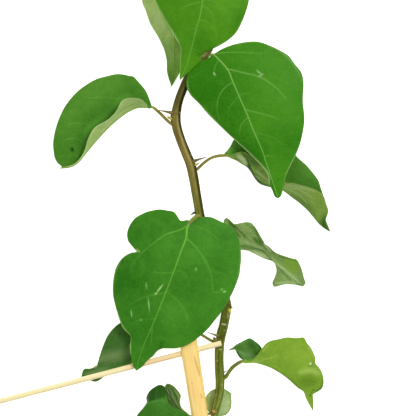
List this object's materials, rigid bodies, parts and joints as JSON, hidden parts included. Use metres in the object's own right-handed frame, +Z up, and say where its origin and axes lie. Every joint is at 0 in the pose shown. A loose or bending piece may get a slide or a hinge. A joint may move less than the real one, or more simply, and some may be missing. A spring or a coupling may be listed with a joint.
{
  "type": "bougainvillea shoot with bamboo cane",
  "caption": "Cut climbing shoot with heart-shaped leaves on thin stalks, thorns and buds, lying flat with a piece of bamboo cane and a thin bamboo rung.",
  "frame": {"origin": "centre of the bounding box in plan, on the surface that the shoot lies on", "axes": "+Y runs up the shoot to its upper cut end, +X to the right as seen from above, and +Z up from the surface"},
  "size_m": [0.2038, 0.2968, 0.0283],
  "materials": {
    "bark": "matte",
    "upper_leaf": "satin",
    "lower_leaf": "satin",
    "young_leaf": "satin",
    "thorn": "satin",
    "bud": "satin",
    "bamboo": "satin"
  },
  "bodies": {
    "root": {"main_stem": "bark", "leaf_top_front": "upper_leaf", "leaf_top_back": "lower_leaf", "leaf_upper_right": "upper_leaf", "leaf_folded_right": "upper_leaf", "leaf_folded_left": "upper_leaf", "leaf_middle_front": "upper_leaf", "leaf_twisted_right": "lower_leaf", "leaf_lower_left": "upper_leaf", "leaf_lower_right": "young_leaf", "leaf_small_young": "upper_leaf", "leaf_curled_bottom": "upper_leaf", "leaf_small_round": "lower_leaf", "thorn_first": "thorn", "thorn_second": "thorn", "thorn_stub": "thorn", "thorn_fourth": "thorn", "thorn_fifth": "thorn", "thorn_sixth": "thorn", "thorn_seventh": "thorn", "bud_first": "bud", "bud_second": "bud", "bud_third": "bud", "bud_fourth": "bud", "bud_fifth": "bud", "bud_sixth": "bud", "bamboo_cane": "bamboo", "bamboo_rung": "bamboo"}
  },
  "joints": []
}
